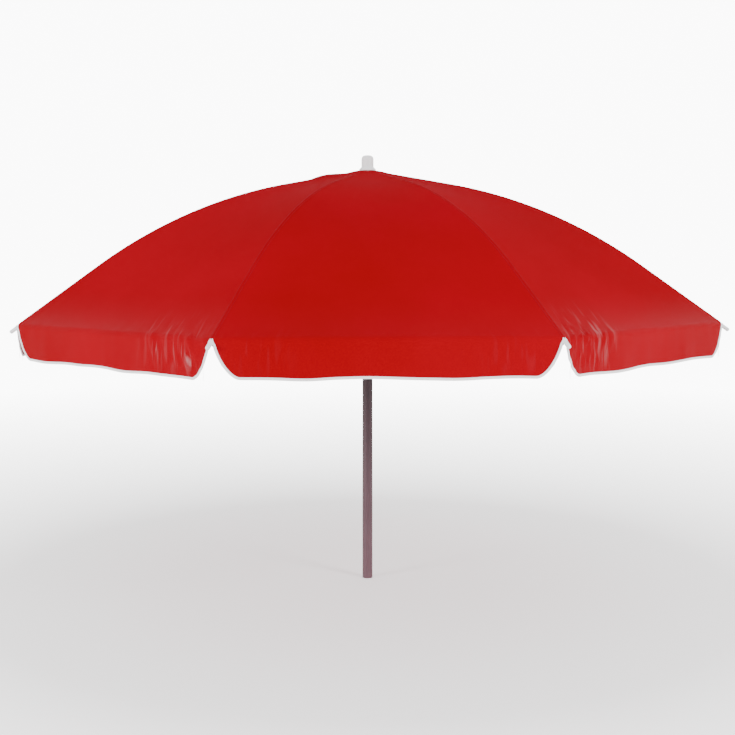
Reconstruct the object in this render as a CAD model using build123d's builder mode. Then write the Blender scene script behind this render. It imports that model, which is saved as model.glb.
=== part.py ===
"""Beach umbrella: eight sprung ribs on a crown, folded by a sliding runner, on a tilting pole.

The frame is +Z up, in millimetres, with the origin at the centre of the pole's bottom end.
Ribs stand at 22.5 degrees + 45 degrees * n, so that a panel faces each of +X, -X, +Y and -Y.
Rib pieces are drawn in the XZ plane, as if their rib stood along +X, and are then turned into place.
"""

import os
from math import acos, atan2, cos, degrees, hypot, radians, sin, sqrt, tan

from build123d import *

# ---------------------------------------- driving dimensions
rib_count = 8

# pole
pole_outer_d = 25.0
pole_wall = 1.0
fit_gap = 0.05          # moulded plugs, caps and sleeves on the tubes

# rib: inner straight run, sprung bend and outer straight run, along the rod's centre line
rib_rod_d = 5.0
rib_inner_run = 190.0
rib_bend_radius = 1120.0
rib_outer_run = 217.0
rib_slope_inner = 10.5   # degrees below level, at the crown
rib_slope_outer = 35.5   # degrees below level, at the rim
rib_end_in_cap = 14.0    # how far the rod runs on past the cloth
fold_angle = 66.0        # how far a rib turns from open to shut

# crown, which the ribs hinge on
crown_pivot_z = 1000.0
crown_pivot_out = 7.5    # pivots beyond the pole's outside
crown_rim = 6.5          # crown's outside beyond its pivots
crown_top_rise = 4.6     # crown's top above its pivots
crown_flange_drop = 6.5
crown_hub_drop = 22.0
crown_hub_wall = 2.45
ring_wire_d = 2.4
ring_channel_gap = 0.1
rib_eye_r = 4.0
rib_eye_w = 4.4
rib_eye_bore_gap = 0.3
rib_slot_gap = 0.3       # each side of a rib in its slot

# stretcher, which props a rib up from the runner
stretcher_rod_d = 4.5
stretcher_eye_r = 4.25
stretcher_eye_w = 4.1
stretcher_joint_at = 400.0   # along the rib from its crown pivot
joint_drop = 9.0             # stretcher's rivet below the rib's centre line
rivet_d = 3.0
rivet_gap = 0.1
rivet_head_d = 5.5
rivet_head_h = 0.9
clip_length = 16.0
clip_wall = 1.0
clip_gap = 0.1
clip_ear_r = 4.2
clip_ear_wall = 1.2
clip_ear_gap = 0.35      # each side of the stretcher's eye
stretcher_pin_length = 11.0

# runner
runner_drop = 300.0      # its pivots below the crown's, when open
runner_pivot_out = 9.5   # pivots beyond the pole's outside
runner_gap = 0.5
runner_sleeve_wall = 3.0
runner_flange_out = 6.0  # flange beyond the pivots
runner_flange_rise = 7.0
runner_flange_drop = 6.0
runner_length_below = 45.0
runner_grip_out = 4.0    # grip beyond the sleeve
runner_grip_h = 4.0
runner_slot_gap = 0.3
socket_gap = 0.2
socket_flare = 16.0      # degrees that a snap socket opens outwards, below its pin

# runner catch, a leaf spring inside the upper pole
catch_width = 6.0
catch_leaf = 0.8
catch_leaf_gap = 0.7     # leaf's outer face inside the tube's bore
catch_nose_out = 3.5     # beyond the pole's outside
catch_nose_h = 14.0
catch_reach = 60.0       # from the nose's top to the leaf's root
catch_tail = 4.0
catch_under_runner = 0.3
catch_slot_gap = 0.5
catch_stud_d = 4.0

# tilt joint
tilt_shoulder = 4.0      # depth of each insert's collar that shows between the tubes
tilt_tongue_in = 1.0     # tongue's round end inside the pole's outside
tilt_tongue_w = 10.0
tilt_ear_in = 0.5        # ears' round ends inside the pole's outside
tilt_side_gap = 0.25
tilt_shoulder_gap = 4.0
tilt_insert_depth = 22.0
tilt_below_catch = 4.7   # tongue's plug below the runner catch
tilt_inset = 0.2         # the castings' outside below the pole's
tilt_seat_ream = 0.4     # the tube's bore is opened out by this much where a casting plugs in
tilt_rivet_d = 5.0
tilt_rivet_gap = 0.08
tilt_limit = 30.0
button_drop = 7.5        # button's axis below the tilt pivot
button_head_d = 6.0
button_head_h = 2.8
button_stem_d = 3.0
button_stem_in = 4.5     # into the tongue's curved slot
button_travel = 1.8
button_gap = 0.15
button_recess = 0.5      # head's face below the pole's outside
spring_wire_d = 0.5
spring_d = 4.9
spring_turns = 4

# rib tip cap
cap_r = 4.2
cap_length = 21.0
cap_collar_r = 5.2
cap_collar_w = 2.5
cap_dome = 3.6

# cloth
cloth_thickness = 1.0
cloth_over_clip = 0.4    # cloth's underside above the clips' outside
cloth_hole_gap = 3.5     # hole's edge beyond the pole's outside
cloth_flat_past = 3.5    # cloth lies flat this far past the crown
cloth_join_past = 30.0   # and meets the ribs' straight run this far past that
cloth_above_crown = 0.5
panel_gap = 0.3          # between two ribs' gores, half way between the ribs
valance_depth = 74.0     # flap that the cloth turns down into at the rim
valance_dip = 4.0        # lower edge is this much higher at a panel's corners
valance_corner = 44.0    # from the rib to a panel's lower corner
notch_half_w = 7.5       # notch at each rib, half its width at the rim
binding_w = 5.5
binding_t = 0.4
binding_gap = 0.1
binding_top_gap = 1.5    # below the cloth's turn at the rim

# finial
finial_wall = 2.15
finial_flange_out = 5.8  # flange beyond the body
finial_flange_h = 2.6
finial_cone_h = 6.0
finial_height = 36.5
finial_dome = 9.5
finial_roof = 3.0
finial_lift = 0.3

# ---------------------------------------- worked-out sizes
pole_r = pole_outer_d / 2
bore_r = pole_r - pole_wall
rib_r = rib_rod_d / 2
rod_r = stretcher_rod_d / 2
crown_pivot_r = pole_r + crown_pivot_out
crown_outer_r = crown_pivot_r + crown_rim
crown_hub_r = pole_r + fit_gap + crown_hub_wall
runner_pivot_r = pole_r + runner_pivot_out
runner_flange_r = runner_pivot_r + runner_flange_out
runner_sleeve_r = pole_r + runner_gap + runner_sleeve_wall
runner_grip_r = runner_sleeve_r + runner_grip_out
catch_leaf_r = bore_r - catch_leaf_gap - catch_leaf
tilt_tongue_r = pole_r - tilt_tongue_in
tilt_ear_r = pole_r - tilt_ear_in
cloth_above_rib = rib_r + clip_gap + clip_wall + cloth_over_clip
cloth_hole_r = pole_r + cloth_hole_gap
cloth_flat_r = crown_outer_r + cloth_flat_past
cloth_join_r = cloth_flat_r + cloth_join_past
finial_r = pole_r + fit_gap + finial_wall
finial_flange_r = finial_r + finial_flange_out
step = 360.0 / rib_count
half = radians(step / 2)

slope_in = radians(rib_slope_inner)
slope_out = radians(rib_slope_outer)
bend_run = rib_bend_radius * (slope_out - slope_in)
rib_reach = rib_inner_run + bend_run + rib_outer_run


def rib_point(along, lift=0.0):
    """(r, z, slope) of a point on the rib, lifted off its centre line at right angles to it."""
    bent = min(max(along - rib_inner_run, 0.0), bend_run)
    slope = slope_in + bent / rib_bend_radius
    r = crown_pivot_r + min(along, rib_inner_run) * cos(slope_in)
    z = crown_pivot_z - min(along, rib_inner_run) * sin(slope_in)
    r += rib_bend_radius * (sin(slope) - sin(slope_in))
    z -= rib_bend_radius * (cos(slope_in) - cos(slope))
    past = max(along - rib_inner_run - bend_run, 0.0)
    r += past * cos(slope_out) + lift * sin(slope)
    z += lift * cos(slope) - past * sin(slope_out)
    return r, z, slope


def in_plane(r, z):
    """A point of the rib's own plane, as a point of the XZ plane."""
    return (r, 0, z)


joint_r, joint_z, joint_slope = rib_point(stretcher_joint_at, -joint_drop)
runner_pivot_z = crown_pivot_z - runner_drop
stretcher_length = hypot(joint_r - runner_pivot_r, joint_z - runner_pivot_z)
stretcher_rise = atan2(joint_z - runner_pivot_z, joint_r - runner_pivot_r)

# where the joint and the runner come to when the ribs are shut
arm = hypot(joint_r - crown_pivot_r, crown_pivot_z - joint_z)
arm_angle = atan2(joint_r - crown_pivot_r, crown_pivot_z - joint_z) - radians(fold_angle)
shut_joint_r = crown_pivot_r + arm * sin(arm_angle)
shut_joint_drop = arm * cos(arm_angle)
shut_offset = shut_joint_r - runner_pivot_r
shut_runner_drop = shut_joint_drop + sqrt(stretcher_length**2 - shut_offset**2)
runner_travel = shut_runner_drop - runner_drop
shut_rise = acos(shut_offset / stretcher_length)
stretcher_turn = fold_angle + degrees(shut_rise - stretcher_rise)

rim_r, rim_z, _ = rib_point(rib_reach, cloth_above_rib)
chord_d = rim_r * cos(half)          # from the axis to the rim, half way between ribs
half_chord = rim_r * sin(half)
crown_top_z = crown_pivot_z + crown_top_rise
cloth_apex_z = crown_top_z + cloth_above_crown
finial_base_z = cloth_apex_z + cloth_thickness + finial_lift
finial_top_z = finial_base_z + finial_height
runner_bottom = runner_pivot_z - runner_length_below
catch_top = runner_bottom - catch_under_runner
catch_root = catch_top + catch_reach
catch_bottom = catch_top - catch_nose_h - catch_tail
upper_pole_bottom = catch_bottom - tilt_below_catch - tilt_insert_depth
tilt_pivot_z = upper_pole_bottom - tilt_shoulder - tilt_shoulder_gap - tilt_ear_r
lower_pole_top = tilt_pivot_z - tilt_ear_r - tilt_shoulder
upper_pole_top = finial_top_z - finial_roof - 1.0
fork_floor = lower_pole_top + tilt_shoulder
tilt_body_r = pole_r - tilt_inset
tilt_seat_r = bore_r + tilt_seat_ream
socket_r = rivet_d / 2 + socket_gap

os.makedirs("parts", exist_ok=True)


def save(part, name):
    """Label a finished piece and write it as its own STEP file."""
    part.label = name
    export_step(part, f"parts/{name}.step")


def save_each(blank, name):
    """One copy of a rib's piece for each rib, turned to its place."""
    for n in range(rib_count):
        with BuildPart() as turned:
            add(blank.part.rotate(Axis.Z, step / 2 + n * step))
        save(turned.part, f"{name}_{n + 1}")


# ---------------------------------------- lower pole
with BuildPart() as lower_pole:
    with BuildSketch():
        Circle(pole_r)
        Circle(bore_r, mode=Mode.SUBTRACT)
    extrude(amount=lower_pole_top)
    with BuildSketch(Plane.XY.offset(lower_pole_top - tilt_insert_depth)):
        Circle(tilt_seat_r)
    extrude(amount=tilt_insert_depth, mode=Mode.SUBTRACT)
save(lower_pole.part, "lower_pole")

# ---------------------------------------- upper pole, with the catch's slot and stud hole
with BuildPart() as upper_pole:
    with BuildSketch(Plane.XY.offset(upper_pole_bottom)):
        Circle(pole_r)
        Circle(bore_r, mode=Mode.SUBTRACT)
    extrude(amount=upper_pole_top - upper_pole_bottom)
    with BuildSketch(Plane.XY.offset(upper_pole_bottom)):
        Circle(tilt_seat_r)
    extrude(amount=tilt_insert_depth, mode=Mode.SUBTRACT)
    slot_h = catch_nose_h + 2 * catch_slot_gap
    with BuildSketch(Plane.XZ.offset(bore_r / 2)):
        with Locations((0, catch_top - catch_nose_h / 2)):
            Rectangle(catch_width + 2 * catch_slot_gap, slot_h)
    extrude(amount=pole_r, mode=Mode.SUBTRACT)
    with BuildSketch(Plane.XZ.offset(bore_r / 2)):
        with Locations((0, catch_root - catch_stud_d)):
            Circle(catch_stud_d / 2 + fit_gap)
    extrude(amount=pole_r, mode=Mode.SUBTRACT)
save(upper_pole.part, "upper_pole")

# ---------------------------------------- tilt joint: fork in the lower pole
with BuildPart() as tilt_fork:
    with BuildSketch(Plane.XY.offset(lower_pole_top - tilt_insert_depth)):
        Circle(tilt_seat_r - fit_gap)
    extrude(amount=tilt_insert_depth)
    with BuildSketch(Plane.XY.offset(lower_pole_top)):
        Circle(tilt_body_r)
    extrude(amount=tilt_pivot_z + tilt_ear_r - lower_pole_top)
    # the ears' round tops, about the pivot
    with BuildSketch(Plane.XZ.offset(-pole_r)) as ear_top:
        with Locations((0, tilt_pivot_z + tilt_ear_r)):
            Rectangle(2 * pole_r + 1, 2 * tilt_ear_r)
        with Locations((0, tilt_pivot_z)):
            Circle(tilt_ear_r, mode=Mode.SUBTRACT)
    extrude(amount=2 * pole_r, mode=Mode.SUBTRACT)
    # the gap between the ears
    gap_w = tilt_tongue_w + 2 * tilt_side_gap
    with BuildSketch(Plane.XZ.offset(-gap_w / 2)):
        with Locations((0, fork_floor + tilt_ear_r * 2)):
            Rectangle(2 * pole_r + 1, 4 * tilt_ear_r)
    extrude(amount=gap_w, mode=Mode.SUBTRACT)
    with BuildSketch(Plane.XZ.offset(-pole_r)):
        with Locations((0, tilt_pivot_z)):
            Circle(tilt_rivet_d / 2 + fit_gap)
    extrude(amount=2 * pole_r, mode=Mode.SUBTRACT)
    # the button's stepped bore, in the ear on the +Y side
    button_face = pole_r - button_recess
    spring_seat = button_face - button_head_h - button_travel - spring_wire_d * 1.4
    with BuildSketch(Plane.XZ.offset(-spring_seat)):
        with Locations((0, tilt_pivot_z - button_drop)):
            Circle(button_head_d / 2 + button_gap)
    extrude(amount=-pole_r, mode=Mode.SUBTRACT)
    with BuildSketch(Plane.XZ.offset(-tilt_tongue_w / 2)):
        with Locations((0, tilt_pivot_z - button_drop)):
            Circle(button_stem_d / 2 + button_gap)
    extrude(amount=-pole_r, mode=Mode.SUBTRACT)
save(tilt_fork.part, "tilt_fork")

# ---------------------------------------- tilt joint: tongue in the upper pole
with BuildPart() as tilt_tongue:
    with BuildSketch(Plane.XY.offset(upper_pole_bottom - tilt_shoulder)):
        Circle(tilt_body_r)
    extrude(amount=tilt_shoulder)
    with BuildSketch(Plane.XY.offset(upper_pole_bottom)):
        Circle(tilt_seat_r - fit_gap)
    extrude(amount=tilt_insert_depth)
    with BuildSketch(Plane.XZ.offset(-tilt_tongue_w / 2)):
        with Locations((0, tilt_pivot_z)):
            Circle(tilt_tongue_r)
        with Locations((0, (tilt_pivot_z + upper_pole_bottom - tilt_shoulder / 2) / 2)):
            Rectangle(2 * tilt_tongue_r, upper_pole_bottom - tilt_shoulder / 2 - tilt_pivot_z)
    extrude(amount=tilt_tongue_w)
    with BuildSketch(Plane.XZ.offset(-pole_r)):
        with Locations((0, tilt_pivot_z)):
            Circle(tilt_rivet_d / 2 + tilt_rivet_gap)
    extrude(amount=2 * pole_r, mode=Mode.SUBTRACT)
    # curved slot that the button's stem rides in, open over the joint's whole tilt
    with BuildSketch(Plane.XZ.offset(-tilt_tongue_w / 2)) as stem_slot:
        with BuildLine():
            slot_path = CenterArc((0, tilt_pivot_z), button_drop, 270 - tilt_limit, tilt_limit)
        SlotArc(slot_path, button_stem_d + 4 * button_gap)
    extrude(amount=button_stem_in + 2 * button_travel, mode=Mode.SUBTRACT)
save(tilt_tongue.part, "tilt_tongue")

with BuildPart() as tilt_rivet:
    with BuildSketch(Plane.XZ.offset(-tilt_ear_r)):
        with Locations((0, tilt_pivot_z)):
            Circle(tilt_rivet_d / 2)
    extrude(amount=2 * tilt_ear_r)
    chamfer(tilt_rivet.edges().filter_by(GeomType.CIRCLE), 0.6)
save(tilt_rivet.part, "tilt_rivet")

with BuildPart() as tilt_button:
    with BuildSketch(Plane.XZ.offset(-button_face)):
        with Locations((0, tilt_pivot_z - button_drop)):
            Circle(button_head_d / 2)
    extrude(amount=button_head_h)
    with BuildSketch(Plane.XZ.offset(-button_face)):
        with Locations((0, tilt_pivot_z - button_drop)):
            Circle(button_stem_d / 2)
    extrude(amount=button_face - tilt_tongue_w / 2 + button_stem_in)
    fillet(tilt_button.edges().group_by(Axis.Y)[-1], 0.5)
save(tilt_button.part, "tilt_button")

spring_length = button_face - button_head_h - spring_seat - spring_wire_d - 0.1
with BuildPart() as button_spring:
    with BuildLine():
        coil = Helix(
            spring_length / spring_turns,
            spring_length,
            (spring_d - spring_wire_d) / 2,
            center=(0, spring_seat + spring_wire_d / 2 + 0.05, tilt_pivot_z - button_drop),
            direction=(0, 1, 0),
        )
    with BuildSketch(Plane(coil @ 0, z_dir=coil % 0)):
        Circle(spring_wire_d / 2)
    sweep(path=coil, is_frenet=True)
save(button_spring.part, "button_spring")

# ---------------------------------------- crown: flange with a slot for each rib
slot_w = rib_rod_d + 2 * rib_slot_gap
channel_r = ring_wire_d / 2 + ring_channel_gap
with BuildPart() as crown:
    with BuildSketch(Plane.XY.offset(crown_pivot_z - crown_flange_drop)):
        Circle(crown_outer_r)
    extrude(amount=crown_flange_drop + crown_top_rise)
    fillet(crown.edges().group_by(Axis.Z)[-1], 1.5)
    with BuildSketch(Plane.XY.offset(crown_pivot_z - crown_hub_drop)):
        Circle(crown_hub_r)
    extrude(amount=crown_hub_drop)
    with BuildSketch(Plane.XY.offset(crown_pivot_z - crown_hub_drop)):
        Circle(pole_r + fit_gap)
    extrude(amount=2 * crown_hub_drop, mode=Mode.SUBTRACT)
    # rib slots, open outwards and down
    with BuildSketch(Plane.XY.offset(crown_pivot_z - crown_flange_drop)):
        with PolarLocations(0, rib_count, start_angle=step / 2):
            slot_in = crown_pivot_r - rib_eye_r - 0.5
            with Locations((slot_in + crown_outer_r / 2, 0)):
                Rectangle(crown_outer_r, slot_w)
    extrude(amount=crown_flange_drop + crown_top_rise + 1, mode=Mode.SUBTRACT)
    # channel for the ring wire, dropped in from the top
    with BuildSketch(Plane.XZ) as channel:
        with Locations((crown_pivot_r, crown_pivot_z)):
            Circle(channel_r)
        with Locations((crown_pivot_r, crown_pivot_z + crown_top_rise)):
            Rectangle(2 * channel_r, 2 * crown_top_rise)
    revolve(axis=Axis.Z, mode=Mode.SUBTRACT)
save(crown.part, "crown")

with BuildPart() as crown_ring:
    with BuildSketch(Plane.XZ):
        with Locations((crown_pivot_r, crown_pivot_z)):
            Circle(ring_wire_d / 2)
    revolve(axis=Axis.Z)
save(crown_ring.part, "crown_ring")

# ---------------------------------------- finial: domed cap over the pole's end
with BuildPart() as finial:
    with BuildSketch(Plane.XZ) as finial_section:
        with BuildLine():
            Polyline(
                (0, finial_top_z),
                (finial_r, finial_top_z),
                (finial_r, finial_base_z + finial_flange_h + finial_cone_h),
                (finial_flange_r, finial_base_z + finial_flange_h),
                (finial_flange_r, finial_base_z),
                (pole_r + fit_gap, finial_base_z),
                (pole_r + fit_gap, finial_top_z - finial_roof),
                (0, finial_top_z - finial_roof),
                close=True,
            )
        make_face()
        fillet(finial_section.vertices().sort_by_distance((finial_r, finial_top_z, 0))[0], finial_dome)
    revolve(axis=Axis.Z)
save(finial.part, "finial")

# ---------------------------------------- runner: sliding sleeve with a snap socket for each stretcher
with BuildPart() as runner:
    with BuildSketch(Plane.XY.offset(runner_bottom)):
        Circle(runner_sleeve_r)
    extrude(amount=runner_length_below + runner_flange_rise + 4)
    with BuildSketch(Plane.XY.offset(runner_bottom)):
        Circle(runner_grip_r)
    extrude(amount=runner_grip_h)
    with BuildSketch(Plane.XY.offset(runner_pivot_z - runner_flange_drop)):
        Circle(runner_flange_r)
    extrude(amount=runner_flange_drop + runner_flange_rise)
    with BuildSketch(Plane.XY.offset(runner_bottom)):
        Circle(pole_r + runner_gap)
    extrude(amount=2 * runner_length_below, mode=Mode.SUBTRACT)
    # stretcher slots, open outwards, up and down
    eye_slot_w = stretcher_rod_d + 2 * runner_slot_gap
    flange_bottom = runner_pivot_z - runner_flange_drop
    with BuildSketch(Plane.XY.offset(flange_bottom)):
        with PolarLocations(0, rib_count, start_angle=step / 2):
            with Locations((runner_pivot_r - stretcher_eye_r - 0.5 + runner_flange_r / 2, 0)):
                Rectangle(runner_flange_r, eye_slot_w)
    extrude(amount=2 * (runner_flange_drop + runner_flange_rise), mode=Mode.SUBTRACT)
    # snap sockets for the stretchers' pins, open below
    for n in range(rib_count):
        turn = step / 2 + n * step
        socket_plane = Plane.XZ.rotated((0, 0, turn)).offset(-stretcher_pin_length / 2 - socket_gap)
        with BuildSketch(socket_plane):
            with Locations((runner_pivot_r, runner_pivot_z)):
                Circle(socket_r)
            with BuildLine():
                Polyline(
                    (runner_pivot_r - socket_r, runner_pivot_z),
                    (runner_pivot_r - socket_r, flange_bottom - 1),
                    (runner_pivot_r + socket_r + (runner_flange_drop + 1) * tan(radians(socket_flare)),
                     flange_bottom - 1),
                    (runner_pivot_r + socket_r, runner_pivot_z),
                    close=True,
                )
            make_face()
        extrude(amount=stretcher_pin_length + 2 * socket_gap, mode=Mode.SUBTRACT)
save(runner.part, "runner")

# ---------------------------------------- runner catch: leaf spring with a nose, on the -Y side
with BuildPart() as runner_catch:
    leaf_out = catch_leaf_r + catch_leaf
    with BuildSketch(Plane.YZ.offset(-catch_width / 2)):
        with BuildLine():
            Polyline(
                (-catch_leaf_r, catch_root),
                (-leaf_out, catch_root),
                (-leaf_out, catch_top),
                (-pole_r - catch_nose_out, catch_top),
                (-pole_r - catch_nose_out, catch_top - catch_nose_h * 0.4),
                (-leaf_out, catch_top - catch_nose_h),
                (-leaf_out, catch_bottom),
                (-catch_leaf_r, catch_bottom),
                close=True,
            )
        make_face()
    extrude(amount=catch_width)
    with BuildSketch(Plane.XZ.offset(catch_leaf_r)):
        with Locations((0, catch_root - catch_stud_d)):
            Circle(catch_stud_d / 2)
    extrude(amount=pole_r - catch_leaf_r - fit_gap)
save(runner_catch.part, "runner_catch")

# ---------------------------------------- rib: sprung rod with an eye
bend_start = rib_point(rib_inner_run)
bend_middle = rib_point(rib_inner_run + bend_run / 2)
bend_end = rib_point(rib_inner_run + bend_run)
rod_end = rib_point(rib_reach + rib_end_in_cap)
with BuildPart() as rib:
    with BuildLine() as rod_line:
        Line(in_plane(*rib_point(rib_eye_r * 0.6)[:2]), in_plane(*bend_start[:2]))
        ThreePointArc(in_plane(*bend_start[:2]), in_plane(*bend_middle[:2]), in_plane(*bend_end[:2]))
        Line(in_plane(*bend_end[:2]), in_plane(*rod_end[:2]))
    with BuildSketch(Plane(rod_line.line @ 0, z_dir=rod_line.line % 0)):
        Circle(rib_r)
    sweep(path=rod_line.line)
    with BuildSketch(Plane.XZ.offset(-rib_eye_w / 2)):
        with Locations((crown_pivot_r, crown_pivot_z)):
            Circle(rib_eye_r)
    extrude(amount=rib_eye_w)
    with BuildSketch(Plane.XZ.offset(-rib_rod_d)):
        with Locations((crown_pivot_r, crown_pivot_z)):
            Circle(ring_wire_d / 2 + rib_eye_bore_gap)
    extrude(amount=2 * rib_rod_d, mode=Mode.SUBTRACT)
save_each(rib, "rib")

# ---------------------------------------- rib tip: moulded cap on the rod's end
cap_start = rib_point(rib_reach + 0.5)
cap_plane = Plane(
    in_plane(cap_start[0], cap_start[1]),
    x_dir=(0, 1, 0),
    z_dir=(cos(slope_out), 0, -sin(slope_out)),
)
with BuildPart() as rib_tip:
    with BuildSketch(cap_plane):
        Circle(cap_r)
    extrude(amount=cap_length)
    fillet(rib_tip.edges().group_by(Axis.X)[-1], cap_dome)
    with BuildSketch(cap_plane):
        Circle(cap_collar_r)
    extrude(amount=cap_collar_w)
    with BuildSketch(cap_plane):
        Circle(rib_r + fit_gap)
    extrude(amount=rib_end_in_cap, mode=Mode.SUBTRACT)
save_each(rib_tip, "rib_tip")

# ---------------------------------------- rib clip: saddle on the rib, with the stretcher's rivet
on_rib = rib_point(stretcher_joint_at)
along_rib = (cos(joint_slope), 0, -sin(joint_slope))
clip_side = Plane(in_plane(*on_rib[:2]), x_dir=along_rib, z_dir=(0, -1, 0))
clip_end = Plane(
    (on_rib[0] - clip_length / 2 * along_rib[0], 0, on_rib[1] - clip_length / 2 * along_rib[2]),
    x_dir=(0, 1, 0),
    z_dir=along_rib,
)
ear_in = rod_r + clip_ear_gap
ear_out = ear_in + clip_ear_wall
with BuildPart() as rib_clip:
    with BuildSketch(clip_end):
        Circle(rib_r + clip_gap + clip_wall)
    extrude(amount=clip_length)
    for inner_face in (-ear_out, ear_in):
        with BuildSketch(clip_side.offset(inner_face)):
            with Locations((0, -joint_drop)):
                Circle(clip_ear_r)
            with Locations((0, -joint_drop / 2)):
                Rectangle(2 * clip_ear_r, joint_drop)
        extrude(amount=clip_ear_wall)
    with BuildSketch(clip_end.offset(-1)):
        Circle(rib_r + clip_gap)
    extrude(amount=clip_length + 2, mode=Mode.SUBTRACT)
    with BuildSketch(clip_side.offset(-ear_out - 1)):
        with Locations((0, -joint_drop)):
            Circle(rivet_d / 2 + fit_gap)
    extrude(amount=2 * ear_out + 2, mode=Mode.SUBTRACT)
with BuildPart() as clip_rivet:
    head_face = ear_out + fit_gap
    with BuildSketch(clip_side.offset(-head_face)):
        with Locations((0, -joint_drop)):
            Circle(rivet_d / 2)
    extrude(amount=2 * head_face)
    for start in (-head_face - rivet_head_h, head_face):
        with BuildSketch(clip_side.offset(start)):
            with Locations((0, -joint_drop)):
                Circle(rivet_head_d / 2)
        extrude(amount=rivet_head_h)
for n in range(rib_count):
    with BuildPart() as clip_pair:
        add(rib_clip.part.rotate(Axis.Z, step / 2 + n * step))
        add(clip_rivet.part.rotate(Axis.Z, step / 2 + n * step))
    save(clip_pair.part, f"rib_clip_{n + 1}")

# ---------------------------------------- stretcher: prop rod, with a cross pin for the runner
lower_end = in_plane(runner_pivot_r, runner_pivot_z)
upper_end = in_plane(joint_r, joint_z)
prop_dir = (cos(stretcher_rise), 0, sin(stretcher_rise))
with BuildPart() as stretcher:
    with BuildSketch(Plane(lower_end, x_dir=(0, 1, 0), z_dir=prop_dir)):
        Circle(rod_r)
    extrude(amount=stretcher_length)
    with BuildSketch(Plane.XZ.offset(-stretcher_eye_w / 2)):
        with Locations((runner_pivot_r, runner_pivot_z), (joint_r, joint_z)):
            Circle(stretcher_eye_r)
    extrude(amount=stretcher_eye_w)
    with BuildSketch(Plane.XZ.offset(-stretcher_pin_length / 2)):
        with Locations((runner_pivot_r, runner_pivot_z)):
            Circle(rivet_d / 2)
    extrude(amount=stretcher_pin_length)
    with BuildSketch(Plane.XZ.offset(-stretcher_rod_d)):
        with Locations((joint_r, joint_z)):
            Circle(rivet_d / 2 + rivet_gap)
    extrude(amount=2 * stretcher_rod_d, mode=Mode.SUBTRACT)
save_each(stretcher, "stretcher")

# ---------------------------------------- canopy gore: the cloth that one rib carries
# Half a panel lies on each side of the rib, and turns down at the rim into the hanging valance.
towards_middle = Vector(-sin(half), cos(half), 0)
straight_z = rib_point(0, cloth_above_rib)
join_z = straight_z[1] - (cloth_join_r - straight_z[0]) * tan(slope_in)
flap_plane = Plane((rim_r, 0, rim_z), x_dir=towards_middle, z_dir=(cos(half), sin(half), 0))
flap_width = half_chord - panel_gap / 2
flap_top = cloth_thickness / cos(slope_out)
corner_depth = valance_depth - valance_dip


def cloth_outline(lift):
    """The cloth's section from the crown's hole to past the rim, at a lift above its underside."""
    height = cloth_above_rib + lift
    knee = lift / cos(slope_in)
    start, middle, end = (
        rib_point(rib_inner_run + share * bend_run, height)[:2] for share in (0, 0.5, 1)
    )
    past_rim = rib_point(rib_reach + 2 * cap_length, height)[:2]
    over_crown = [
        (cloth_hole_r, cloth_apex_z + lift),
        (cloth_flat_r, cloth_apex_z + lift),
        (cloth_join_r, join_z + knee),
    ]
    return (
        over_crown,
        start,
        middle,
        end,
        past_rim,
    )


def flap_edge(inset, top):
    """The notch's side and the lower edge of a half flap, moved in from its cut edge."""
    return (
        (notch_half_w + inset, top),
        (notch_half_w + 0.3 * (valance_corner - notch_half_w) + inset, -0.66 * corner_depth),
        (valance_corner + 1.3 * inset, -corner_depth + inset),
        (flap_width, -valance_depth + inset),
    )


under, over = cloth_outline(0), cloth_outline(cloth_thickness)
with BuildPart() as half_gore:
    with BuildSketch(Plane.XZ) as gore_section:
        with BuildLine():
            Polyline(*under[0], under[1])
            ThreePointArc(*under[1:4])
            Polyline(under[3], under[4], over[4], over[3])
            ThreePointArc(over[3], over[2], over[1])
            Polyline(over[1], *reversed(over[0]), under[0][0])
        make_face()
    extrude(amount=half_chord, dir=towards_middle)
    # cut back to the line half way between the ribs, and off plumb at the rim
    middle_plane = Plane((0, 0, 0), z_dir=(sin(half), -cos(half), 0)).offset(panel_gap / 2)
    split(bisect_by=middle_plane, keep=Keep.TOP)
    rim_plane = Plane((chord_d * cos(half), chord_d * sin(half), 0), z_dir=(-cos(half), -sin(half), 0))
    split(bisect_by=rim_plane, keep=Keep.TOP)
    with BuildSketch(flap_plane):
        with BuildLine():
            cut = flap_edge(0, flap_top)
            ThreePointArc(*cut[:3])
            Polyline(cut[2], cut[3], (flap_width, flap_top), cut[0])
        make_face()
    extrude(amount=cloth_thickness)
with BuildPart() as gore:
    add(half_gore.part)
    mirror(half_gore.part, about=Plane.XZ)
save_each(gore, "canopy_gore")

# ---------------------------------------- binding: folded tape round the valance's cut edge
with BuildPart() as half_binding:
    tape_side = binding_gap + binding_t
    with BuildSketch(flap_plane.offset(-tape_side)):
        with BuildLine():
            outer = flap_edge(-tape_side, -binding_top_gap)
            inner = flap_edge(binding_w, -binding_top_gap)
            ThreePointArc(*outer[:3])
            Polyline(outer[2], outer[3], inner[3], inner[2])
            ThreePointArc(inner[2], inner[1], inner[0])
            Line(inner[0], outer[0])
        make_face()
    extrude(amount=cloth_thickness + 2 * tape_side)
    # room for the cloth between the tape's two sides
    with BuildSketch(flap_plane.offset(-binding_gap)):
        with BuildLine():
            room = flap_edge(-binding_gap, flap_top)
            ThreePointArc(*room[:3])
            Polyline(room[2], room[3], (flap_width + 1, -valance_depth - binding_gap),
                     (flap_width + 1, flap_top), room[0])
        make_face()
    extrude(amount=cloth_thickness + 2 * binding_gap, mode=Mode.SUBTRACT)
with BuildPart() as binding:
    add(half_binding.part)
    mirror(half_binding.part, about=Plane.XZ)
save_each(binding, "binding")

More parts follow.
